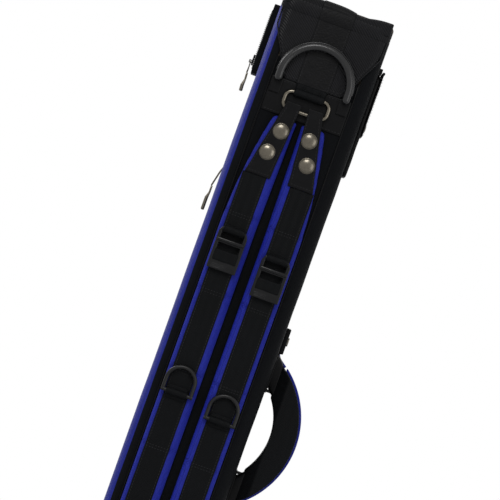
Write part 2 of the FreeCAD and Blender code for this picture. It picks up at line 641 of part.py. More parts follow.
def pouch_pieces():
    """A flat leather pouch on the right side, with a snap flap hinged at its top."""
    low = "case_height - pouch_bottom_drop"
    high = "case_height - pouch_top_drop"
    pouch = padded_body("side_pouch", "YZ", "half_x", "pouch_thick", [
        rounded("-pouch_half", "pouch_half", low, f"{high} - pouch_flap_thick", "corner / 2")])
    node(soften(pouch, "pouch_thick / 3", lambda point: point.x > number("half_x + pouch_thick") - 0.01))
    axis = f"({high} + pouch_flap_thick)"
    leaf = padded_body("pouch_leaf", "YZ", "half_x + pouch_thick + flap_gap", "pouch_flap_thick", [
        [("-pouch_flap_half", f"{high} - pouch_flap_length + corner / 2", "corner / 2"),
         ("-pouch_flap_half + corner / 2", f"{high} - pouch_flap_length"),
         ("pouch_flap_half - corner / 2", f"{high} - pouch_flap_length", "corner / 2"),
         ("pouch_flap_half", f"{high} - pouch_flap_length + corner / 2"), ("pouch_flap_half", axis),
         ("-pouch_flap_half", axis)]])
    roll = cylinder("pouch_roll", "pouch_flap_thick", "2 * pouch_flap_half", "pouch_axis_x",
                    "-pouch_flap_half", axis, "Y")
    node(join("pouch_flap", [leaf, roll]))
    node(block("pouch_hinge_strip", ("half_x", "-pouch_flap_half", high),
               ("pouch_axis_x - pouch_flap_thick - flap_gap", "pouch_flap_half", f"{axis} + pouch_thick")))
    node(cylinder("pouch_snap", "snap_radius", "snap_rise",
                  "half_x + pouch_thick + flap_gap + pouch_flap_thick", 0,
                  f"{high} - pouch_flap_length + 2 * snap_radius", "X"))


def pocket_pieces():
    """The small zip pocket on the left side and the long zip pocket on the front, both lying flat."""
    side = padded_body("side_pocket", "YZ", "-half_x - side_pocket_thick", "side_pocket_thick", [
        rounded("-side_pocket_half", "side_pocket_half", "case_height - side_pocket_bottom",
                "case_height - side_pocket_top", "pocket_round")])
    node(side)
    node(padded_body("side_pocket_zip", "YZ", "-half_x - side_pocket_thick - zip_tape", "zip_tape", [
        box_outline("-zip_half", "zip_half", "case_height - zip_side_stop", "case_height - zip_side_top")]))
    front = padded_body("front_pocket", "XZ", "-half_y - front_pocket_thick", "front_pocket_thick", [
        rounded("-front_pocket_half", "front_pocket_half", "front_pocket_low",
                "case_height - front_pocket_top", "pocket_round")])
    face = number("half_y + front_pocket_thick")
    node(soften(front, "pocket_round", lambda point: point.y > face - 0.01))
    node(padded_body("front_pocket_zip", "YZ", "-front_pocket_half - zip_tape", "zip_tape", [
        box_outline("front_zip_y - zip_half", "front_zip_y + zip_half",
                    "front_pocket_low + zip_front_end",
                    "case_height - front_pocket_top - pocket_round")]))


def zip_slider(name, face, y, drop):
    """A slider body on its tape, with an arched bail that the pull's top bar turns in."""
    height = f"case_height - {drop}"
    outside = f"-{face} - slider_gap - slider_thick"
    axis = f"{outside} - bail_reach"
    hole = "(link_wire / 2 + bail_fit)"
    body = block(f"{name}_body", (outside, f"{y} - slider_half", f"{height} - slider_length / 3"),
                 (f"-{face} - slider_gap", f"{y} + slider_half", f"{height} + 2 * slider_length / 3"))
    arch = block(f"{name}_arch", (f"{axis} - {hole} - bail_wall", f"{y} - bail_half",
                                  f"{height} - {hole} - bail_wall"),
                 (outside, f"{y} + bail_half", f"{height} + {hole} + bail_wall"))
    window = block(f"{name}_window", (f"{axis} - {hole}", f"{y} - bail_half", f"{height} - {hole}"),
                   (f"{axis} + {hole}", f"{y} + bail_half", f"{height} + {hole}"))
    return node(cut(name, join(f"{name}_whole", [body, arch]), window))


def pull_link(name, x, y, drop, length, tilt):
    """A wire frame whose top bar lies in the slider's bail, tilted about that bar."""
    outer = rounded("-link_half", "link_half", f"-{length}", "link_wire / 2", "link_wire / 2.5")
    inner = box_outline("-link_half + link_wire", "link_half - link_wire", f"-{length} + link_wire",
                        "-link_wire / 2")
    frame = padded_body(name, "YZ", "-link_wire / 2", "link_wire", [outer, inner])
    return node(place(frame, f"-{x}", y, f"case_height - {drop}", Rotation(Vector(0, 1, 0), number(tilt))))


def pull_tab(name, x, y, drop, length, tab_length, tilt, hang):
    """A flat tab just below the frame's low bar, hanging at its own angle."""
    low = f"-(link_wire / 2 + slider_gap) - {tab_length}"
    tab = padded_body(name, "YZ", "-pull_thick / 2", "pull_thick", [
        rounded("-pull_half", "pull_half", low, "-link_wire / 2 - slider_gap", "pull_half / 2")])
    reach = f"({length} - link_wire / 2)"
    return node(place(tab, f"-{x} - {reach} * sin({tilt})", y,
                      f"case_height - {drop} - {reach} * cos({tilt})",
                      Rotation(Vector(0, 1, 0), number(hang))))


def export():
    """Check every object, then write each sub-part."""
    doc.recompute()
    failed = [item.Name for item in doc.Objects if "Invalid" in item.State or "Error" in item.State]
    for item in nodes:
        if item.Shape.isNull() or not item.Shape.isValid() or not item.Shape.Solids:
            failed.append(item.Label)
    if failed:
        raise RuntimeError(f"unsound pieces: {failed}")
    os.makedirs("parts", exist_ok=True)
    for item in nodes:
        item.Shape.exportStep(f"parts/{item.Label}.step")
    print(len(nodes), "sub-parts written")


shell_pieces()
cover_panels()
hood_pieces()
yoke_and_ring()
for strap_label, strap_side in SIDES:
    strap_pieces(strap_label, strap_side)
strap_anchors()
rivets()
buckles()
dee_rings()
top_handle()
side_handle()
pouch_pieces()
pocket_pieces()
zip_slider("side_zip_slider", "(half_x + side_pocket_thick + zip_tape)", "0", "side_slider_drop")
pull_link("side_zip_link", "side_link_x", "0", "side_slider_drop", "side_link_length", "side_link_tilt")
pull_tab("side_zip_tab", "side_link_x", "0", "side_slider_drop", "side_link_length", "side_pull_length",
         "side_link_tilt", "side_link_tilt")
zip_slider("front_zip_slider", "(front_pocket_half + zip_tape)", "front_zip_y", "front_slider_drop")
pull_link("front_zip_link", "front_link_x", "front_zip_y", "front_slider_drop", "front_link_length",
          "front_link_tilt")
pull_tab("front_zip_tab", "front_link_x", "front_zip_y", "front_slider_drop", "front_link_length",
         "front_pull_length", "front_link_tilt", "0")
export()
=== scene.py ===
# %% [markdown]
# # Telescope carry case
# A tall, slim case of black cloth over a stiff shell, with blue cloth round its left side, a padded
# leather hood on top, and two padded carry straps down its back. The measured model is loaded first:
# every piece below takes its place and its size from it, so nothing has to be fitted by eye.

# %% Load the measured model
import math

import bpy
from mathutils import Matrix, Vector, noise


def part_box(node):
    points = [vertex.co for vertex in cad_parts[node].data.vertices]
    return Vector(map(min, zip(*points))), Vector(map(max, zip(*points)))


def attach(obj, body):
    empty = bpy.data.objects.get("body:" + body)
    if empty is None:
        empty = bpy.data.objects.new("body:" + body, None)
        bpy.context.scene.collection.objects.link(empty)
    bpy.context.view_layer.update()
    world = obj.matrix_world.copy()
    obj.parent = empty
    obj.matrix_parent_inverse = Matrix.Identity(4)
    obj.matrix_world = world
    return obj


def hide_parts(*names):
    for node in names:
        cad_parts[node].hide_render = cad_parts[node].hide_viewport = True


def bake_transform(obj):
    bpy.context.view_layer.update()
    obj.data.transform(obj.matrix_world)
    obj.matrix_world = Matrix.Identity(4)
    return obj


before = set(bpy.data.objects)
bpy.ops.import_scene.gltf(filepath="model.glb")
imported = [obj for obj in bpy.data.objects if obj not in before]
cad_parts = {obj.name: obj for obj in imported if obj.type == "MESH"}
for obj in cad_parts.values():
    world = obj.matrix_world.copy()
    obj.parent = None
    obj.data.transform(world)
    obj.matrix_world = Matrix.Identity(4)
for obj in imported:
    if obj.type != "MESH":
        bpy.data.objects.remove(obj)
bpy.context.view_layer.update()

MM = 0.001
WELD = 0.000002
scene = bpy.context.scene

# %% [markdown]
# ## Shared surface effects
# Cloth, webbing and leather differ mostly in their relief. Each relief is a node group that puts out a
# height of about 0 to 1, read from Object coordinates, so it never slides and needs no UV map. They could
# be image textures, but a procedural one has the same detail at every distance.

# %% Helpers that write shader maths
def maths(tree, operation, *values):
    """Add one Math node and return its output."""
    node = tree.nodes.new("ShaderNodeMath")
    node.operation = operation
    for socket, value in zip(node.inputs, values):
        if isinstance(value, (int, float)):
            socket.default_value = value
        else:
            tree.links.new(value, socket)
    return node.outputs[0]


def new_group(name, inputs, outputs):
    """Start a shader group with float inputs and outputs, and return its tree, inputs and outputs."""
    tree = bpy.data.node_groups.new(name, "ShaderNodeTree")
    for label, value in inputs.items():
        socket = tree.interface.new_socket(label, in_out="INPUT", socket_type="NodeSocketFloat")
        socket.default_value = value
    for label in outputs:
        tree.interface.new_socket(label, in_out="OUTPUT", socket_type="NodeSocketFloat")
    return tree, tree.nodes.new("NodeGroupInput").outputs, tree.nodes.new("NodeGroupOutput").inputs


def surface_axes(tree):
    """Return a distance round the case and a height up it, both in metres."""
    place = tree.nodes.new("ShaderNodeTexCoord").outputs["Object"]
    split = tree.nodes.new("ShaderNodeSeparateXYZ")
    tree.links.new(place, split.inputs[0])
    return maths(tree, "ADD", split.outputs["X"], split.outputs["Y"]), split.outputs["Z"]


def noise_at(tree, scale, detail=3):
    """Return the value of a noise texture on Object coordinates."""
    place = tree.nodes.new("ShaderNodeTexCoord").outputs["Object"]
    cloud = tree.nodes.new("ShaderNodeTexNoise")
    cloud.inputs["Detail"].default_value = detail
    tree.links.new(place, cloud.inputs["Vector"])
    if isinstance(scale, (int, float)):
        cloud.inputs["Scale"].default_value = scale
    else:
        tree.links.new(scale, cloud.inputs["Scale"])
    return cloud.outputs["Fac"]


def wave(tree, along, pitch):
    """Return the sine of a length over a pitch."""
    return maths(tree, "SINE", maths(tree, "MULTIPLY", maths(tree, "DIVIDE", along, pitch), math.tau))

# %% [markdown]
# A plain weave is two sets of threads that take turns on top. The product of two sine waves tells which
# set is on top, and the height of that thread is the height of the cloth there.

# %% Plain weave
tree, given, out = new_group("Plain weave", {"Pitch": 0.0012}, ["Height"])
across, up = surface_axes(tree)
weft = wave(tree, across, given["Pitch"])
warp = wave(tree, up, given["Pitch"])
warp_on_top = maths(tree, "GREATER_THAN", maths(tree, "MULTIPLY", weft, warp), 0)
warp_height = maths(tree, "MULTIPLY", maths(tree, "ABSOLUTE", weft), warp_on_top)
weft_on_top = maths(tree, "SUBTRACT", 1, warp_on_top)
weft_height = maths(tree, "MULTIPLY", maths(tree, "ABSOLUTE", warp), weft_on_top)
slub = maths(tree, "MULTIPLY", noise_at(tree, 900), 0.4)
tree.links.new(maths(tree, "ADD", maths(tree, "ADD", warp_height, weft_height), slub), out["Height"])
print("weave group:", len(tree.nodes), "nodes")

# %% [markdown]
# Webbing is woven in chevrons: the rib climbs, turns at the edge of a narrow band, and falls again. A
# ping-pong of the distance across the strap bends straight ribs into that herringbone.

# %% Herringbone webbing
tree, given, out = new_group("Herringbone", {"Rib": 0.002, "Band": 0.004}, ["Height"])
across, up = surface_axes(tree)
bent = maths(tree, "ADD", up, maths(tree, "PINGPONG", across, given["Band"]))
rib = maths(tree, "MULTIPLY_ADD", wave(tree, bent, given["Rib"]), 0.5, 0.5)
tree.links.new(maths(tree, "MULTIPLY_ADD", noise_at(tree, 1500), 0.3, rib), out["Height"])
print("webbing group:", len(tree.nodes), "nodes")

# %% [markdown]
# The hood's leather is pressed with a fine diagonal rib. The strips and the pouch have a pebbled grain,
# which is the cells of a Voronoi texture with rounded tops.

# %% Pressed diagonal rib and pebbled grain
tree, given, out = new_group("Diagonal rib", {"Pitch": 0.0024}, ["Height"])
across, up = surface_axes(tree)
slant = maths(tree, "ADD", up, maths(tree, "MULTIPLY", across, 0.8))
ribs = maths(tree, "MULTIPLY_ADD", wave(tree, slant, given["Pitch"]), 0.5, 0.5)
tree.links.new(maths(tree, "MULTIPLY_ADD", noise_at(tree, 420), 0.7, ribs), out["Height"])

tree, given, out = new_group("Pebbled grain", {"Scale": 700}, ["Height"])
cells = tree.nodes.new("ShaderNodeTexVoronoi")
cells.feature = "SMOOTH_F1"
tree.links.new(tree.nodes.new("ShaderNodeTexCoord").outputs["Object"], cells.inputs["Vector"])
tree.links.new(given["Scale"], cells.inputs["Scale"])
pebble = maths(tree, "SUBTRACT", 1, cells.outputs["Distance"])
tree.links.new(maths(tree, "MULTIPLY_ADD", noise_at(tree, 250), 0.5, pebble), out["Height"])
print("relief groups ready")

# %% [markdown]
# Nothing that has been carried is one even colour. One more group mixes broad fading with small specks,
# and every finish uses it to lighten its colour and change its gloss a little.

# %% Handling marks
tree, given, out = new_group("Handling marks", {"Broad": 14, "Fine": 260, "Amount": 0.5}, ["Mask"])
broad = maths(tree, "SUBTRACT", noise_at(tree, given["Broad"], 4), 0.42)
fine = maths(tree, "SUBTRACT", noise_at(tree, given["Fine"], 2), 0.35)
both = maths(tree, "ADD", maths(tree, "MULTIPLY", broad, 2.2), fine)
marks = maths(tree, "MULTIPLY", both, given["Amount"])
clamp = tree.nodes.new("ShaderNodeClamp")
tree.links.new(marks, clamp.inputs[0])
tree.links.new(clamp.outputs[0], out["Mask"])
print("groups:", [group.name for group in bpy.data.node_groups])

# %% [markdown]
# ## Finishes
# Every finish is one Principled shader with a base colour, a lighter worn colour, a roughness for each,
# and one of the reliefs. Where a shade amount is given, the relief's height also darkens the colour in its
# hollows and lightens it a little on its tops: painted shade and painted highlight. The same recipe serves
# them all, so one function writes it, and each call below says only what is special about that cloth,
# leather, metal or plastic.

# %% The recipe for a finish
def screen(red, green, blue):
    """Turn a colour from 0 to 255 as a screen shows it into the linear values a shader wants."""
    linear = [(value / 255 / 12.92) if value < 10.4 else ((value / 255 + 0.055) / 1.055) ** 2.4
              for value in (red, green, blue)]
    return (*linear, 1)


def finish(name, colour, worn, rough=(0.6, 0.75), relief=None, depth=0.0002, marks=(14, 260, 0.5),
           shade=0.0, constants=None, **values):
    """Write a finish whose colour, gloss and height all change over the surface, with painted shade in its
    relief's hollows.
    """
    made = bpy.data.materials.new(name)
    made.use_nodes = True
    tree = made.node_tree
    shader = tree.nodes["Principled BSDF"]
    mask = tree.nodes.new("ShaderNodeGroup")
    mask.node_tree = bpy.data.node_groups["Handling marks"]
    for socket, value in zip(mask.inputs, marks):
        socket.default_value = value
    tint = tree.nodes.new("ShaderNodeMix")
    tint.data_type = "RGBA"
    tint.inputs["A"].default_value = screen(*colour)
    tint.inputs["B"].default_value = screen(*worn)
    tree.links.new(mask.outputs["Mask"], tint.inputs["Factor"])
    base = tint.outputs["Result"]
    if relief:
        height = tree.nodes.new("ShaderNodeGroup")
        height.node_tree = bpy.data.node_groups[relief]
        for label, value in values.items():
            height.inputs[label].default_value = value
        bump = tree.nodes.new("ShaderNodeBump")
        bump.inputs["Distance"].default_value = depth
        bump.inputs["Strength"].default_value = 0.8
        tree.links.new(height.outputs["Height"], bump.inputs["Height"])
        tree.links.new(bump.outputs["Normal"], shader.inputs["Normal"])
        # shade multiplies the colour by the relief's height: painted shade in the hollows of the weave or
        # grain, and a faint painted highlight on its tops.
        if shade:
            painted_hollow_shade = tree.nodes.new("ShaderNodeMix")
            painted_hollow_shade.data_type = "RGBA"
            painted_hollow_shade.blend_type = "MULTIPLY"
            painted_hollow_shade.inputs["Factor"].default_value = shade
            tree.links.new(base, painted_hollow_shade.inputs["A"])
            tree.links.new(height.outputs["Height"], painted_hollow_shade.inputs["B"])
            base = painted_hollow_shade.outputs["Result"]
    tree.links.new(base, shader.inputs["Base Color"])
    gloss = tree.nodes.new("ShaderNodeMapRange")
    gloss.inputs["To Min"].default_value, gloss.inputs["To Max"].default_value = rough
    tree.links.new(mask.outputs["Mask"], gloss.inputs["Value"])
    tree.links.new(gloss.outputs["Result"], shader.inputs["Roughness"])
    for label, value in (constants or {}).items():
        shader.inputs[label].default_value = value
    print("finish:", name)
    return made

# %% Cloths and webbing
# Each shade value is how much painted shade darkens the hollows of that relief.
black_cloth = finish("Black cloth", (9, 10, 12), (19, 20, 23), (0.62, 0.8), "Plain weave", 0.00015,
                     shade=0.5, Pitch=0.0011, constants={"Specular IOR Level": 0.045})
blue_cloth = finish("Blue cloth", (22, 30, 118), (42, 50, 142), (0.42, 0.6), "Plain weave", 0.00012,
                    shade=0.4, Pitch=0.0013,
                    constants={"Specular IOR Level": 0.12, "Sheen Weight": 0.04, "Sheen Roughness": 0.4})
blue_mesh = finish("Blue mesh", (26, 34, 132), (44, 54, 158), (0.5, 0.7), "Plain weave", 0.0004,
                   shade=0.7, Pitch=0.0024, constants={"Specular IOR Level": 0.12})
webbing = finish("Webbing", (9, 10, 11), (18, 19, 21), (0.5, 0.7), "Herringbone", 0.0002, shade=0.45,
                 Rib=0.0018, Band=0.0042, constants={"Specular IOR Level": 0.05})
lining = finish("Lining", (30, 34, 84), (48, 52, 110), (0.7, 0.85), "Plain weave", 0.00012, shade=0.4,
                Pitch=0.0009, constants={"Specular IOR Level": 0.2})
foam = finish("Foam", (38, 38, 42), (60, 60, 64), (0.85, 0.95), "Pebbled grain", 0.0002, shade=0.4,
              Scale=1500)

# %% Leathers
# Each shade value is how much painted shade darkens the hollows of that relief.
hood_leather = finish("Hood leather", (10, 10, 12), (21, 21, 24), (0.36, 0.52), "Diagonal rib", 0.0003,
                      shade=0.7, Pitch=0.0027, constants={"Specular IOR Level": 0.1})
grained_leather = finish("Grained leather", (8, 8, 9), (18, 18, 19), (0.42, 0.6), "Pebbled grain",
                         0.0003, shade=0.5, Scale=620, constants={"Specular IOR Level": 0.08})
smooth_leather = finish("Smooth leather", (8, 8, 9), (17, 17, 18), (0.36, 0.52), "Pebbled grain",
                        0.00008, shade=0.2, Scale=1300, constants={"Specular IOR Level": 0.07})
handle_leather = finish("Handle leather", (14, 14, 15), (30, 30, 31), (0.24, 0.38), "Pebbled grain",
                        0.00006, shade=0.2, Scale=1500, constants={"Specular IOR Level": 0.34})
thread = finish("Thread", (24, 24, 26), (44, 44, 48), (0.5, 0.65), "Herringbone", 0.0001, shade=0.3,
                Rib=0.0006, Band=0.0005, constants={"Specular IOR Level": 0.2})

# %% Metals, plastics and board
nickel = finish("Nickel", (100, 95, 85), (58, 55, 50), (0.2, 0.38), "Pebbled grain", 0.00003,
                marks=(30, 500, 0.6), Scale=900, constants={"Metallic": 1.0})
black_metal = finish("Black metal", (10, 10, 11), (30, 29, 29), (0.3, 0.45), "Pebbled grain", 0.00003,
                     marks=(40, 420, 0.4), Scale=1400, constants={"Specular IOR Level": 0.2})
black_plastic = finish("Black plastic", (9, 9, 10), (20, 20, 22), (0.22, 0.36), "Pebbled grain", 0.00004,
                       Scale=2200, constants={"Specular IOR Level": 0.17})
boot_plastic = finish("Boot plastic", (18, 18, 20), (42, 42, 44), (0.45, 0.6), "Pebbled grain", 0.0002,
                      Scale=900, constants={"Specular IOR Level": 0.3})
case_board = finish("Stiff board", (58, 52, 46), (84, 76, 66), (0.8, 0.9), "Pebbled grain", 0.0001,
                    Scale=500, constants={"Specular IOR Level": 0.2})

# %% [markdown]
# ## Tools for the soft pieces
# A soft piece keeps the outside of its measured solid but must not look machined. Small leather parts are
# remeshed finely and relaxed, which rolls their edges over as a folded hide does. Long panels would need
# far too many points for that, so they are cut into rows with bisect and then moved a fraction of a
# millimetre, the way cloth lies over board.

# %% Selecting, copying and finishing
def alone(piece):
    """Make one piece the only selected object."""
    bpy.ops.object.select_all(action="DESELECT")
    piece.select_set(True)
    bpy.context.view_layer.objects.active = piece


def edit(piece):
    """Open a piece in edit mode with all of it selected."""
    alone(piece)
    bpy.ops.object.mode_set(mode="EDIT")
    bpy.ops.mesh.select_all(action="SELECT")


def done():
    """Leave edit mode."""
    bpy.ops.object.mode_set(mode="OBJECT")


def pattern_of(name):
    """Copy the outside of a measured solid into a new piece, with its triangles joined up."""
    piece = bpy.data.objects.new(name + "_made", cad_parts[name].data.copy())
    piece.data.materials.clear()
    scene.collection.objects.link(piece)
    edit(piece)
    bpy.ops.mesh.remove_doubles(threshold=WELD)
    done()
    return piece


def outwards(piece):
    """Turn every face of a piece outwards."""
    edit(piece)
    bpy.ops.mesh.normals_make_consistent(inside=False)
    done()


def modify(piece, kind, **settings):
    """Add a modifier with these settings and apply it."""
    alone(piece)
    modifier = piece.modifiers.new(kind, kind)
    for label, value in settings.items():
        setattr(modifier, label, value)
    bpy.ops.object.modifier_apply(modifier=modifier.name)


def in_place(piece):
    """Put a piece's own place, turn and scale into its mesh."""
    alone(piece)
    bpy.ops.object.transform_apply(location=True, rotation=True, scale=True)


def complete(piece, name, body, material, slot, *nodes, smooth=40):
    """Name, colour and shade a finished piece, hang it on the body it rides on, and hide the measured parts
    it stands for.
    """
    piece.name = name
    piece.data.materials.clear()
    piece.data.materials.append(material)
    alone(piece)
    bpy.ops.object.shade_smooth_by_angle(angle=math.radians(smooth))
    if nodes:
        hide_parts(*nodes)
    if body:
        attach(piece, body)
    print(f"{name}: {len(piece.data.polygons)} faces")
    return piece


def rolled(piece, voxel, rounds):
    """Remesh a leather or moulded part finely and relax it, so its edges roll over."""
    modify(piece, "REMESH", mode="VOXEL", voxel_size=voxel * MM)
    modify(piece, "SMOOTH", factor=0.5, iterations=rounds)
    return piece


def reach_of(piece):
    """Return the lowest and highest corner of a piece, in metres."""
    points = [vertex.co for vertex in piece.data.vertices]
    return [[extreme(point[axis] for point in points) for axis in range(3)] for extreme in (min, max)]


def rows(piece, **pitches):
    """Cut a piece into rows across the named axes, at a pitch in millimetres."""
    low, high = reach_of(piece)
    edit(piece)
    for axis, pitch in pitches.items():
        index = "xyz".index(axis)
        count = int((high[index] - low[index]) / (pitch * MM))
        for step in range(1, count + 1):
            place = [0.0, 0.0, 0.0]
            place[index] = low[index] + step * (high[index] - low[index]) / (count + 1)
            bpy.ops.mesh.select_all(action="SELECT")
            bpy.ops.mesh.bisect(plane_co=place, plane_no=[float(i == index) for i in range(3)])
    done()
    return piece


def settle(piece, amount, size, seed):
    """Move the points along their normals by a smooth random amount in millimetres."""
    normals = [vertex.normal.copy() for vertex in piece.data.vertices]
    for vertex, normal in zip(piece.data.vertices, normals):
        vertex.co += normal * amount * MM * noise.noise(vertex.co / size + Vector((seed, 0, seed)))
    return piece

# %% [markdown]
# Stitches are little threads that stand on the surface. One is modelled as a squashed ball with few
# faces, and copied along each seam. A bump would be cheaper, but real thread catches the light.

# %% One stitch, and rows of them
bpy.ops.object.select_all(action="DESELECT")
bpy.ops.mesh.primitive_uv_sphere_add(segments=6, ring_count=4, radius=1)
stitch = bpy.context.object
stitch_points = [vertex.co.copy() for vertex in stitch.data.vertices]
stitch_faces = [tuple(face.vertices) for face in stitch.data.polygons]
bpy.data.objects.remove(stitch)


def sewn(name, body, lines, pitch=3.9, long=2.7, thick=0.6, material=thread, out=(0, -1, 0)):
    """Set stitches along lines of points, each given in millimetres, and return them as one piece."""
    points, faces = [], []
    for line in lines:
        corners = [Vector(corner) for corner in line]
        ahead = pitch / 2
        for start, end in zip(corners, corners[1:]):
            run = end - start
            if run.length < 1e-6:
                continue
            along = run.normalized()
            outward = Vector(out((start + end) / 2)) if callable(out) else Vector(out)
            side = along.cross(outward).normalized()
            while ahead < run.length:
                centre = start + along * ahead
                first = len(points)
                points += [(centre + along * p.x * long / 2 + side * p.y * thick / 2
                            + outward * p.z * thick / 3) * MM for p in stitch_points]
                faces += [tuple(first + index for index in face) for face in stitch_faces]
                ahead += pitch
            ahead -= run.length
    mesh = bpy.data.meshes.new(name)
    mesh.from_pydata(points, [], faces)
    piece = bpy.data.objects.new(name, mesh)
    scene.collection.objects.link(piece)
    outwards(piece)
    return complete(piece, name, body, material, "webbing", smooth=60)


def piping(name, body, path, radius, material, slot):
    """Sweep a round cord of leather along points in millimetres."""
    curve = bpy.data.curves.new(name, "CURVE")
    curve.dimensions = "3D"
    spline = curve.splines.new("POLY")
    spline.points.add(len(path) - 1)
    for point, place in zip(spline.points, path):
        point.co = (*(Vector(place) * MM), 1)
    curve.bevel_depth = radius * MM
    curve.bevel_resolution = 4
    curve.use_fill_caps = True
    piece = bpy.data.objects.new(name, curve)
    scene.collection.objects.link(piece)
    alone(piece)
    bpy.ops.object.convert(target="MESH")
    piece = bpy.context.object
    edit(piece)
    bpy.ops.mesh.remove_doubles(threshold=WELD)
    bpy.ops.mesh.normals_make_consistent(inside=False)
    done()
    return complete(piece, name, body, material, slot, smooth=60)


def ends(node):
    """Return a node's lowest and highest corner in millimetres."""
    low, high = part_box(node)
    return Vector(low) / MM, Vector(high) / MM

# %% [markdown]
# ## The case's walls
# The cloth panels are stretched over board. Each is cut into rows and settled by about a quarter of a
# millimetre, so that light breaks on them as on cloth. The blue one goes round both left corners.

# %% Cloth panels
panels = [("rear_panel", black_cloth, "black_cloth"), ("front_panel", black_cloth, "black_cloth"),
          ("rear_corner_strip", black_cloth, "black_cloth"),
          ("right_side_panel", black_cloth, "black_cloth"),
          ("left_side_panel", blue_cloth, "blue_cloth")]
for seed, (node, material, slot) in enumerate(panels):
    panel = rows(pattern_of(node), z=14, x=12)
    settle(panel, 0.3, 0.035, seed)
    complete(panel, node + "_cloth", "root", material, slot, node)

# %% [markdown]
# The pipings are leather cords sewn into the seams between the panels, and the binding is a folded
# leather strip round the mouth. The boot is a moulded shoe that keeps the cloth off the ground.

# %% Pipings, binding, boot and lining
pipings = settle(rows(pattern_of("rear_pipings"), z=9), 0.15, 0.02, 3)
complete(pipings, "rear_pipings_leather", "root", smooth_leather, "smooth_leather", "rear_pipings")
binding = rolled(pattern_of("mouth_binding"), 0.8, 3)
complete(binding, "mouth_binding_leather", "root", smooth_leather, "smooth_leather", "mouth_binding")
boot = rolled(pattern_of("base_boot"), 1.2, 4)
complete(boot, "base_boot_shoe", "root", boot_plastic, "boot_plastic", "base_boot")
liner = settle(rows(pattern_of("liner"), z=20, x=16), 0.2, 0.04, 5)
complete(liner, "liner_cloth", "root", lining, "lining", "liner")
for node, body in (("bottom_foam_pad", "root"), ("lid_foam_pad", "hood")):
    pad = settle(rolled(pattern_of(node), 2.0, 4), 0.4, 0.02, 7)
    complete(pad, node + "_soft", body, foam, "foam", node)

# %% [markdown]
# ## The hood
# The hood is the part that opens. Its leather goes over a lid board and is pressed with a diagonal rib.
# The flap below it is sewn to the back, and a pebbled strip runs down its middle. Fine remeshing gives
# the leather its rolled top edge, and two shallow hollows are pressed into its top by moving points.

# %% The case's own sizes, in millimetres
BACK = 45
CORNER = 14
FLAT_HALF = 44
MOUTH = 836
TOP = 850
STRIP_HALF = 17.25


def hump(distance, width):
    """Return 1 in the middle of a smooth hump and nearly 0 beyond its width."""
    return math.exp(-(distance / width) ** 2)


print("back:", BACK, "mouth:", MOUTH, "top:", TOP)

# %% Hood leather
cover = rolled(pattern_of("hood_cover"), 1.2, 4)
soft_from = TOP - 9
for vertex in cover.data.vertices:
    x, y, z = (value / MM for value in vertex.co)
    if z > soft_from:
        dip = 3.2 * hump(x - 24, 13) + 1.2 * hump(x + 30, 12)
        behind = min(1, max(0, -y / BACK))
        vertex.co.z -= dip * MM * (z - soft_from) / (TOP - soft_from) * (0.35 + 0.65 * behind)
settle(cover, 0.6, 0.03, 11)
complete(cover, "hood_cover_leather", "hood", hood_leather, "hood_leather", "hood_cover", smooth=60)
flap = settle(rolled(pattern_of("hood_back"), 0.9, 3), 0.5, 0.03, 12)
complete(flap, "hood_flap_leather", "root", hood_leather, "hood_leather", "hood_back", smooth=60)
strip = settle(rolled(pattern_of("hood_back_strip"), 0.6, 3), 0.2, 0.01, 13)
complete(strip, "hood_strip_leather", "root", grained_leather, "grained_leather", "hood_back_strip")
tongue = settle(rolled(pattern_of("hood_tongue"), 0.7, 3), 0.2, 0.02, 14)
complete(tongue, "hood_tongue_leather", "hood", grained_leather, "grained_leather", "hood_tongue")

# %% [markdown]
# The leather folds where the hood opens. A narrow piece of the same leather bridges the fold round the
# back and its corners. It starts as a flat grid whose points are then laid on the case's back.

# %% Laying points on the case's back
def on_back(x, z, out):
    """Put a point on the case's back, round its corners, so many millimetres out from the cloth."""
    if abs(x) <= FLAT_HALF:
        return Vector((x, -BACK - out, z))
    side = math.copysign(1, x)
    turn = min(1.45, (abs(x) - FLAT_HALF) / CORNER)
    radius = CORNER + out
    return Vector((side * (FLAT_HALF + radius * math.sin(turn)),
                   CORNER - BACK - radius * math.cos(turn), z))


def laid(columns, levels, place, thick):
    """Make a sheet of leather from a grid, each point put where place says, in millimetres."""
    bpy.ops.object.select_all(action="DESELECT")
    bpy.ops.mesh.primitive_grid_add(x_subdivisions=columns, y_subdivisions=levels, size=2)
    sheet = bpy.context.object
    for vertex in sheet.data.vertices:
        vertex.co = place(vertex.co.x, vertex.co.y) * MM
    outwards(sheet)
    modify(sheet, "SOLIDIFY", thickness=thick * MM, offset=0, use_even_offset=True)
    modify(sheet, "BEVEL", width=thick * 0.3 * MM, segments=2, limit_method="ANGLE")
    return sheet

# %% The fold and the strip over the hood
def fold_place(a, b):
    """Lay the fold round the back, a little proud along its middle."""
    return on_back(57 * a, MOUTH + 6 * b, 1.9 + 0.7 * (1 - b * b))


def joint_place(a, b):
    """Lay the strip's own fold over the hood's."""
    return Vector((STRIP_HALF * a, -48.1 - 0.5 * (1 - b * b), MOUTH + 6.5 * b))


OVER = [(-48.0, 841), (-48.0, 845), (-46.6, 848), (-43.5, 850.0), (-34, 850.4), (-17, 850.4), (0, 850.4),
        (17, 850.4), (34, 850.4), (41, 850.2)]


def over_place(a, b):
    """Walk the strip over the hood's top from back to front."""
    share = (b + 1) / 2 * (len(OVER) - 1)
    index = min(int(share), len(OVER) - 2)
    (y0, z0), (y1, z1) = OVER[index:index + 2]
    dip = 3.0 * hump(STRIP_HALF * a - 24, 13) * min(1, max(0.35, -y0 / BACK))
    return Vector((STRIP_HALF * a, y0 + (y1 - y0) * (share - index), z0 + (z1 - z0) * (share - index) - dip))


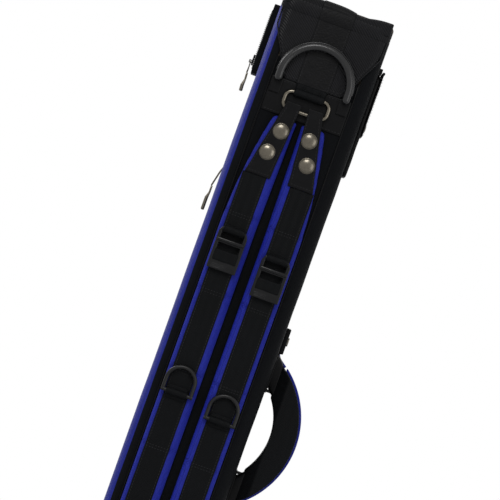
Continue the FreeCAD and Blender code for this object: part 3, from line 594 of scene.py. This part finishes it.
fold = laid(60, 12, fold_place, 0.7)
complete(fold, "hood_fold_leather", None, hood_leather, "hood_leather", smooth=60)
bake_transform(fold)
over = laid(16, 45, over_place, 1.0)
complete(over, "hood_top_strip", "hood", grained_leather, "grained_leather", smooth=50)
joint = laid(16, 14, joint_place, 0.8)
complete(joint, "hood_strip_fold", None, grained_leather, "grained_leather", smooth=60)
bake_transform(joint)

# %% [markdown]
# The flap's lower edge has a thin raised binding and a row of stitches a little inside it. Both follow
# the same outline: straight down the sides, a slant inwards, and a short straight edge at the bottom.

# %% Binding and stitches round the flap
FLAP_HALF = 56
FLAP_FOOT = 762
outline = [(-FLAP_HALF, 833), (-55.2, 812), (-51.5, 805), (-41, 782), (-30, 762.8), (30, 762.8), (41, 782),
           (51.5, 805), (55.2, 812), (FLAP_HALF, 833)]


def along(points, inset, out, step=2.0):
    """Walk an outline in short steps, moved towards its middle, on the case's back."""
    walked = []
    shrink = 1 - inset / FLAP_HALF
    for (x0, z0), (x1, z1) in zip(points, points[1:]):
        pieces = max(1, int(math.hypot(x1 - x0, z1 - z0) / step))
        for index in range(pieces):
            share = index / pieces
            x, z = x0 + (x1 - x0) * share, z0 + (z1 - z0) * share
            rise = inset * (1 - (z - FLAP_FOOT) / (MOUTH - FLAP_FOOT))
            walked.append(on_back(x * shrink, z + rise, out))
    return walked


def off_back(point):
    """Return the direction straight out from the case's back at a point."""
    centre = math.copysign(min(abs(point.x), FLAT_HALF), point.x)
    return Vector((point.x - centre, point.y + BACK - CORNER, 0)).normalized()


piping("hood_flap_binding", "root", along(outline, 0.8, 2.0), 0.75, hood_leather, "hood_leather")
sewn("hood_flap_stitches", "root", [along(outline, 3.4, 2.15)], out=off_back)
strip_low, strip_high = ends("hood_back_strip")
sewn("hood_strip_stitches", "root",
     [[(side * 15.4, -48.3, strip_low.z + 1), (side * 15.4, -48.3, strip_high.z - 1)] for side in (-1, 1)],
     pitch=3.2, long=2.2, thick=0.5)

# %% [markdown]
# ## The yoke, the ring and the strap tabs
# A leather band crosses the back under the flap and carries a nickel ring in a webbing loop. Two
# tapering leather tabs hang from the ring and hold the straps with a pair of domed rivets each.

# %% Yoke, loop and tabs
yoke = settle(rolled(pattern_of("yoke_band"), 0.7, 3), 0.3, 0.02, 21)
complete(yoke, "yoke_leather", "root", smooth_leather, "smooth_leather", "yoke_band")
loop = settle(rolled(pattern_of("ring_loop"), 0.6, 3), 0.4, 0.008, 22)
modify(loop, "DISPLACE", strength=1.0 * MM, mid_level=0)
complete(loop, "ring_loop_webbing", "root", webbing, "webbing", "ring_loop", smooth=60)
for side in ("left", "right"):
    tab = settle(rolled(pattern_of("strap_tab_" + side), 0.6, 3), 0.35, 0.012, 23)
    complete(tab, f"strap_tab_{side}_leather", "root", smooth_leather, "smooth_leather",
             "strap_tab_" + side, smooth=60)
yoke_low, yoke_high = ends("yoke_band")
sewn("yoke_stitches", "root",
     [[(yoke_low.x + 2, yoke_low.y - 0.1, z), (yoke_high.x - 2, yoke_low.y - 0.1, z)]
      for z in (yoke_low.z + 2.5, yoke_high.z - 2.5)], pitch=3.4, long=2.3, thick=0.55)
TAB_EDGES = [[(17.4, 736), (24.5, 706), (33.5, 668)], [(33.5, 665), (12.2, 665)],
             [(6, 736), (8.3, 700), (11.8, 668)]]
TAB_FACE = -56.7
tab_edges = [[(side * x, TAB_FACE, z) for x, z in edge] for side in (-1, 1) for edge in TAB_EDGES]
sewn("strap_tab_stitches", "root", tab_edges, pitch=3.2, long=2.2, thick=0.5)

# %% [markdown]
# A rivet cap is a low dome with a thin rolled rim. One ball is cut at its middle, flattened, and given a
# rim by extruding and scaling its open edge. The same steps make each cap, so each has its own mesh.

# %% Domed rivets
def dome(name, body, centre, radius, rise, facing, *nodes):
    """Make one domed cap whose base is at centre, in millimetres."""
    bpy.ops.object.select_all(action="DESELECT")
    bpy.ops.mesh.primitive_uv_sphere_add(segments=40, ring_count=20, radius=1)
    cap = bpy.context.object
    edit(cap)
    bpy.ops.mesh.bisect(plane_co=(0, 0, 0.15), plane_no=(0, 0, 1), clear_inner=True, use_fill=False)
    bpy.ops.mesh.extrude_region_move()
    bpy.ops.transform.resize(value=(1.06, 1.06, 1))
    bpy.ops.mesh.extrude_region_move(TRANSFORM_OT_translate={"value": (0, 0, -0.13)})
    bpy.ops.mesh.edge_face_add()
    bpy.ops.mesh.select_all(action="SELECT")
    bpy.ops.mesh.normals_make_consistent(inside=False)
    done()
    wide = max(math.hypot(v.co.x, v.co.y) for v in cap.data.vertices)
    cap.data.transform(Matrix.Diagonal((radius / wide * MM, radius / wide * MM, rise * MM, 1)))
    turn = Vector((0, 0, 1)).rotation_difference(Vector(facing)).to_matrix().to_4x4()
    cap.data.transform(Matrix.Translation(Vector(centre) * MM) @ turn)
    modify(cap, "BEVEL", width=0.12 * MM, segments=2, limit_method="ANGLE")
    return complete(cap, name, body, nickel, "nickel", *nodes, smooth=35)


SIDES = {"left": -1, "right": 1}
for side, way in SIDES.items():
    for number, (x, z) in enumerate(((15, 711), (21, 687)), start=1):
        dome(f"strap_rivet_{side}_{number}", "root", (way * x, -56.4, z), 8, 2.5, (0, -1, 0), "strap_rivets")

# %% [markdown]
# ## The carry straps
# Each strap is a padded cushion of blue mesh with 25 mm webbing sewn down its middle. The pads are
# stuffed, so the cloth is blown up from inside with a short simulation, held within a cap, and then
# sewn across: the seams are pinched in afterwards, because remeshing would lose them.

# %% Puffed pads
def puff(piece, cap, allowed):
    """Blow a pad up from inside, and keep every point within a cap and a box."""
    rest = [vertex.co.copy() for vertex in piece.data.vertices]
    normals = [vertex.normal.copy() for vertex in piece.data.vertices]
    alone(piece)
    cloth = piece.modifiers.new("Puff", "CLOTH")
    cloth.settings.use_pressure = True
    cloth.settings.uniform_pressure_force = 4
    cloth.settings.effector_weights.gravity = 0
    for moment in range(1, 21):
        scene.frame_set(moment)
    bpy.ops.object.modifier_apply(modifier=cloth.name)
    scene.frame_set(1)
    low, high = allowed
    for vertex, start, facing in zip(piece.data.vertices, rest, normals):
        swell = min(cap * MM, max(0.0, (vertex.co - start).dot(facing)))
        vertex.co = start + facing * swell
        for axis in range(3):
            vertex.co[axis] = min(max(vertex.co[axis], low[axis] * MM), high[axis] * MM)


def pinch(piece, heights, depth, width, front):
    """Draw the outer face of a pad in along level seams."""
    for vertex in piece.data.vertices:
        if vertex.co.y < front * MM:
            for height in heights:
                away = (vertex.co.z / MM - height) / width
                vertex.co.y += depth * MM * math.exp(-away * away)


SEAMS = {"left": (618, 536.5, 452, 372), "right": (615, 533.5, 450, 368)}
STRAP_X = 25
UNDER_WEBBING = 13.2
for side, heights in SEAMS.items():
    low, high = ends("strap_pad_" + side)
    pad = pattern_of("strap_pad_" + side)
    modify(pad, "REMESH", mode="VOXEL", voxel_size=2.6 * MM)
    modify(pad, "SMOOTH", factor=0.5, iterations=4)
    puff(pad, 2.5, ((low.x - 0.9, low.y - 1.4, low.z), (high.x + 0.9, high.y, high.z)))
    for vertex in pad.data.vertices:
        if abs(vertex.co.x / MM - SIDES[side] * STRAP_X) < UNDER_WEBBING:
            vertex.co.y = max(vertex.co.y, low.y * MM)
    modify(pad, "SUBSURF", levels=1, render_levels=1)
    pinch(pad, heights, 1.6, 3, -49)
    complete(pad, f"strap_pad_{side}_mesh", "root", blue_mesh, "blue_cloth", "strap_pad_" + side,
             smooth=70)

# %% [markdown]
# The webbing lies on the pads. It is thin and flat with slightly rounded selvedges, so it is cut into
# rows, eased down at its edges, and left to its herringbone for the rest.

# %% Strap webbing and its stitches
for side, heights in SEAMS.items():
    low, high = ends("strap_webbing_" + side)
    middle = (low.x + high.x) / 2
    band = rows(pattern_of("strap_webbing_" + side), z=4, x=2.2)
    for vertex in band.data.vertices:
        edge = max(0.0, abs(vertex.co.x / MM - middle) - 10.5) / 2
        if vertex.co.y < -54.2 * MM:
            vertex.co.y += 0.5 * MM * edge * edge
    settle(band, 0.25, 0.012, 31)
    complete(band, f"strap_webbing_{side}_band", "root", webbing, "webbing", "strap_webbing_" + side)
    lines = [[(middle + way * 10.6, -55.1, 655), (middle + way * 10.6, -55.1, 296)] for way in (-1, 1)]
    for height in heights:
        for shift in (-1.4, 1.4):
            lines.append([(middle - 12, -55.15, height + shift), (middle + 12, -55.15, height + shift)])
    sewn(f"strap_stitches_{side}", "root", lines, pitch=3.0, long=2.1, thick=0.5)
anchors = settle(rolled(pattern_of("strap_anchors"), 0.7, 3), 0.2, 0.01, 33)
complete(anchors, "strap_anchor_leather", "root", smooth_leather, "smooth_leather", "strap_anchors")
for node in ("buckle_eyes", "dee_keepers"):
    eyes = settle(rolled(pattern_of(node), 0.6, 3), 0.15, 0.008, 34)
    complete(eyes, node + "_webbing", "root", webbing, "webbing", node, smooth=60)

# %% [markdown]
# ## Buckles
# Each ladder-lock is one moulding: a frame with three bars and two slots. The measured solid has its
# sharp outline; the moulding gets soft edges from a fine remesh, a rounded main bar that stands proud,
# and grip ridges along the free end. A fold of webbing lies over its lower part.

# %% Ladder-lock buckles
def bar(x, y, z, half, radius):
    """Make one rounded bar that lies across the strap."""
    bpy.ops.object.select_all(action="DESELECT")
    bpy.ops.mesh.primitive_cylinder_add(vertices=24, radius=radius * MM, depth=2 * half * MM,
                                        location=(x * MM, y * MM, z * MM), rotation=(0, math.pi / 2, 0))
    made = bpy.context.object
    in_place(made)
    modify(made, "BEVEL", width=radius * 0.5 * MM, segments=3, limit_method="ANGLE")
    return made


for side in SIDES:
    low, high = ends("buckle_" + side)
    middle = (low.x + high.x) / 2
    moulding = rolled(pattern_of("buckle_" + side), 0.45, 3)
    ridges = [bar(middle, low.y + 0.9, high.z - 12.8, 14.2, 2.3)]
    ridges += [bar(middle, low.y + 0.35, low.z + 2 + 1.6 * step, 11.5, 0.55) for step in range(3)]
    alone(moulding)
    for ridge in ridges:
        ridge.select_set(True)
    bpy.ops.object.join()
    complete(moulding, f"buckle_{side}_moulding", "buckle_" + side, black_plastic, "black_plastic",
             "buckle_" + side, smooth=50)
    bpy.ops.object.select_all(action="DESELECT")
    bpy.ops.mesh.primitive_cube_add(size=1, location=(middle * MM, (low.y + 0.4) * MM, (high.z - 28.5) * MM))
    wrap = bpy.context.object
    wrap.scale = (24.5 * MM, 2.4 * MM, 11.5 * MM)
    in_place(wrap)
    modify(wrap, "BEVEL", width=1.0 * MM, segments=4)
    rows(wrap, x=2, z=2)
    settle(wrap, 0.3, 0.008, 35)
    complete(wrap, f"buckle_{side}_wrap", "buckle_" + side, webbing, "webbing", smooth=60)

# %% [markdown]
# ## The handles
# The top handle is rolled leather on two balls, with a welt sewn along its outer edge. The side handle
# is a bow of webbing over leather with a blue welt, on two stays that are riveted to the case.

# %% Top handle
handle = rolled(pattern_of("top_handle"), 0.6, 4)
complete(handle, "top_handle_leather", "top_handle", handle_leather, "smooth_leather", "top_handle",
         smooth=70)
tabs = settle(rolled(pattern_of("top_handle_tabs"), 0.6, 3), 0.2, 0.01, 41)
complete(tabs, "top_handle_tabs_leather", "root", smooth_leather, "smooth_leather", "top_handle_tabs")
GRIP_SPAN = 35.5
GRIP_RADIUS = 4.25
GRIP_Y = -52.9
grip_centre = ends("top_handle")[1].z - GRIP_RADIUS - GRIP_SPAN


def grip_arc(radius, y):
    """Return points along half a circle round the handle's centre, in millimetres."""
    angles = [math.pi * step / 40 for step in range(41)]
    return [(-radius * math.cos(angle), y, grip_centre + radius * math.sin(angle)) for angle in angles]


welt_radius = GRIP_SPAN + 4.1
piping("top_handle_welt", "top_handle", grip_arc(welt_radius, GRIP_Y), 0.8, handle_leather,
       "smooth_leather")
sewn("top_handle_stitches", "top_handle", [grip_arc(welt_radius * 0.93, GRIP_Y - 3.7)], pitch=3.2, long=2.2,
     thick=0.5)

# %% Side handle
bow = rolled(pattern_of("side_handle"), 1.0, 3)
complete(bow, "side_handle_webbing", "side_handle", webbing, "webbing", "side_handle", smooth=60)
welt = rolled(pattern_of("side_handle_welt"), 0.6, 3)
complete(welt, "side_handle_blue_welt", "side_handle", blue_cloth, "blue_cloth", "side_handle_welt",
         smooth=60)
stays = rolled(pattern_of("side_handle_stays"), 0.7, 3)
complete(stays, "side_handle_stay_leather", "root", smooth_leather, "smooth_leather",
         "side_handle_stays")

# %% [markdown]
# Where the handle meets its stays, a soft leather root hides the hinge pins. It is a cube cut into many
# faces, whose points are laid between the case and the bow. A blue cord carries the welt's line on to the
# stay.

# %% Soft roots over the handle's hinges
HANDLE_Z = 416
CORD = [(59.0, 88), (59.3, 83), (61.5, 79), (64.5, 76.6), (67.5, 74.4), (70, 72.5)]
for way, name in ((1, "upper"), (-1, "lower")):
    bpy.ops.object.select_all(action="DESELECT")
    bpy.ops.mesh.primitive_cube_add(size=2)
    root = bpy.context.object
    edit(root)
    bpy.ops.mesh.subdivide(number_cuts=9)
    done()
    for vertex in root.data.vertices:
        a, b, c = vertex.co
        share = (a + 1) / 2
        inner, outer = 48.5 - 9 * share, 84.5 - 9.8 * share
        round_off = 1 - 0.14 * (b * c) ** 2
        away = inner + (outer - inner) * (c * round_off + 1) / 2
        vertex.co = Vector((58.3 + 9.4 * share, 7.5 * b * round_off, HANDLE_Z + way * away)) * MM
    outwards(root)
    modify(root, "SUBSURF", levels=1, render_levels=1)
    settle(root, 0.3, 0.01, 43)
    complete(root, f"side_handle_root_{name}", None, smooth_leather, "smooth_leather", smooth=60)
    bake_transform(root)
    route = [(x, 0, HANDLE_Z + way * away) for x, away in CORD]
    cord = piping(f"side_handle_cord_{name}", None, route, 1.25, blue_cloth, "blue_cloth")
    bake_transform(cord)

# %% [markdown]
# ## Pouch and pockets
# The pouch on the right side is a small pebbled wallet under a flap with a snap. The long pocket is on
# the front, and a short one is on the left side near the top. Soft pockets bulge a little in the middle,
# which is done by moving their outer points out, most at the centre and not at all at the seams.

# %% Pouch
def bulge(piece, axis, way, amount):
    """Push the outer face of a pocket out by a smooth hump, in millimetres."""
    low, high = reach_of(piece)
    others = [i for i in range(3) if i != axis]
    face = high[axis] if way > 0 else low[axis]
    for vertex in piece.data.vertices:
        shares = [(vertex.co[i] - low[i]) / (high[i] - low[i]) for i in others]
        fullness = math.prod(max(0.0, math.sin(math.pi * share)) ** 0.6 for share in shares)
        near = max(0.0, 1 - abs(vertex.co[axis] - face) / (2.2 * MM))
        vertex.co[axis] += way * amount * MM * fullness * near


pouch = settle(rolled(pattern_of("side_pouch"), 0.8, 4), 0.3, 0.015, 51)
complete(pouch, "side_pouch_leather", "root", grained_leather, "grained_leather", "side_pouch", smooth=60)
lid = settle(rolled(pattern_of("pouch_flap"), 0.6, 3), 0.2, 0.015, 52)
complete(lid, "pouch_flap_leather", "pouch_flap", grained_leather, "grained_leather", "pouch_flap",
         smooth=60)
hinge = rolled(pattern_of("pouch_hinge_strip"), 0.5, 2)
complete(hinge, "pouch_hinge_leather", "root", grained_leather, "grained_leather", "pouch_hinge_strip")
snap_low, snap_high = ends("pouch_snap")
dome("pouch_snap_cap", "pouch_flap", (snap_low.x, 0, (snap_low.z + snap_high.z) / 2),
     (snap_high.z - snap_low.z) / 2, snap_high.x - snap_low.x, (1, 0, 0), "pouch_snap")
flap_low, flap_high = ends("pouch_flap")
flap_seam = [(flap_low.y + 3, flap_high.z - 6), (flap_low.y + 3, flap_low.z + 6),
             (flap_low.y + 8, flap_low.z + 3), (flap_high.y - 8, flap_low.z + 3),
             (flap_high.y - 3, flap_low.z + 6), (flap_high.y - 3, flap_high.z - 6)]
sewn("pouch_flap_stitches", "pouch_flap", [[(flap_high.x - 0.1, y, z) for y, z in flap_seam]],
     out=(1, 0, 0), pitch=3.2, long=2.2, thick=0.35)

# %% Pockets
pocket = rolled(pattern_of("side_pocket"), 1.0, 3)
bulge(pocket, 0, -1, 0.8)
complete(pocket, "side_pocket_cloth", "root", black_cloth, "black_cloth", "side_pocket", smooth=60)
pocket = rolled(pattern_of("front_pocket"), 2.0, 4)
bulge(pocket, 1, 1, 3.0)
complete(pocket, "front_pocket_cloth", "root", black_cloth, "black_cloth", "front_pocket", smooth=60)

# %% [markdown]
# A zip is a woven tape with a coil of teeth down its middle. Each tooth is the same few-sided ball as a
# stitch, stretched across the tape and set at the real pitch of 2 mm. The sliders and pulls are cast, so
# they get soft edges from a fine remesh.

# %% Zip tapes and teeth
for node in ("side_pocket_zip", "front_pocket_zip"):
    tape = rolled(pattern_of(node), 0.6, 1)
    low, high = ends(node)
    complete(tape, node + "_tape", "root", webbing, "webbing", node)
    middle = (low.y + high.y) / 2
    coil = [(low.x - 0.1, middle, low.z + 3), (low.x - 0.1, middle, high.z - 3)]
    sewn(node + "_teeth", "root", [coil], pitch=2.0, long=1.0, thick=3.0, material=black_plastic,
         out=(-1, 0, 0))

# %% Sliders, links and tabs
def thicken(piece, amount):
    """Swell a hanging pull below its eye, and keep its inner face clear of the pocket."""
    top = max(vertex.co.z for vertex in piece.data.vertices)
    normals = [vertex.normal.copy() for vertex in piece.data.vertices]
    for vertex, normal in zip(piece.data.vertices, normals):
        share = min(1.0, max(0.0, (top - vertex.co.z) / MM - 7) / 6)
        vertex.co += (normal + Vector((-1.6, 0, 0))) * amount * MM * share
    return piece


for end in ("side", "front"):
    slider = rolled(pattern_of(end + "_zip_slider"), 0.3, 2)
    complete(slider, end + "_slider_cast", end + "_slider", black_metal, "black_metal",
             end + "_zip_slider", smooth=50)
    link = thicken(rolled(pattern_of(end + "_zip_link"), 0.3, 2), 0.3)
    complete(link, end + "_link_cast", end + "_link", nickel, "nickel", end + "_zip_link", smooth=50)
    tag = thicken(rolled(pattern_of(end + "_zip_tab"), 0.3, 2), 0.8)
    complete(tag, end + "_tab_cast", end + "_tab", nickel, "nickel", end + "_zip_tab", smooth=50)

# %% [markdown]
# ## Carried solids
# Hard parts whose measured shape is already right keep it: board, rings, pins and rivets. They only
# need their finish.

# %% Finishes on the carried solids
KEPT = {"core_shell": case_board, "lid_board": case_board, "base_plate": boot_plastic,
        "catch_magnet": nickel, "strap_ring": nickel, "side_handle_rivets": nickel,
        "dee_ring_left": black_metal, "dee_ring_right": black_metal, "side_handle_pins": black_metal}
for name, material in KEPT.items():
    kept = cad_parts[name]
    kept.data.materials.clear()
    kept.data.materials.append(material)
print("carried:", len(KEPT))

# %% [markdown]
# ## Light, floor and camera
# Soft studio light: one large lamp high in front, a weaker one on the right, one behind for the edges,
# and an even pale world. The floor is plain, and the camera looks level at the back of the case.

# %% World
world = bpy.data.worlds.new("Studio")
scene.world = world
world.use_nodes = True
tree = world.node_tree
tree.nodes.clear()
seen = tree.nodes.new("ShaderNodeLightPath").outputs
shown = maths(tree, "MAXIMUM", seen["Is Camera Ray"],
              maths(tree, "MAXIMUM", seen["Is Glossy Ray"], seen["Is Transmission Ray"]))
plain = tree.nodes.new("ShaderNodeBackground")
plain.inputs["Color"].default_value = (0.8, 0.82, 0.86, 1)
plain.inputs["Strength"].default_value = 0.55
white = tree.nodes.new("ShaderNodeBackground")
white.inputs["Color"].default_value = (1, 1, 1, 1)
white.inputs["Strength"].default_value = 1
blend = tree.nodes.new("ShaderNodeMixShader")
tree.links.new(shown, blend.inputs[0])
tree.links.new(plain.outputs[0], blend.inputs[1])
tree.links.new(white.outputs[0], blend.inputs[2])
tree.links.new(blend.outputs[0], tree.nodes.new("ShaderNodeOutputWorld").inputs[0])
print("world strength:", plain.inputs["Strength"].default_value)

# %% Floor
bpy.ops.object.select_all(action="DESELECT")
bpy.ops.mesh.primitive_plane_add(size=2.4, location=(0, 0, -0.0005))
floor = bpy.context.object
floor.name = "floor"
floor.data.materials.append(finish("Floor", (236, 236, 236), (244, 244, 244), (0.8, 0.9)))
print("floor:", floor.name)

# %% Lamps
def lamp(name, place, aim, size, power):
    """Add a square soft lamp that faces a point."""
    light = bpy.data.lights.new(name, "AREA")
    light.size = size
    light.energy = power
    shining = bpy.data.objects.new(name, light)
    shining.location = place
    shining.rotation_euler = (Vector(aim) - Vector(place)).to_track_quat("-Z", "Y").to_euler()
    scene.collection.objects.link(shining)
    print(name, "lamp:", power, "W")


lamp("key", (-0.45, -1.8, 2.0), (0, 0, 0.6), 0.9, 25)
lamp("fill", (1.5, -1.6, 0.9), (0, 0, 0.55), 1.4, 12)
lamp("rim", (-1.4, 0.9, 1.6), (0, 0, 0.6), 1.0, 16)

# %% Camera
TILT = math.radians(19.715)
camera = bpy.data.objects.new("camera", bpy.data.cameras.new("camera"))
scene.collection.objects.link(camera)
scene.camera = camera
camera.data.sensor_width = 36
camera.data.lens = 216
camera.data.clip_end = 20
right = Vector((math.cos(TILT), 0, math.sin(TILT)))
upward = Vector((-math.sin(TILT), 0, math.cos(TILT)))
turn = Matrix((right, upward, right.cross(upward))).transposed().to_4x4()
camera.matrix_world = Matrix.Translation((-0.0041, -3.05, 0.589)) @ turn
scene.view_settings.view_transform = "Standard"
print("camera at", tuple(round(value, 3) for value in camera.matrix_world.translation))
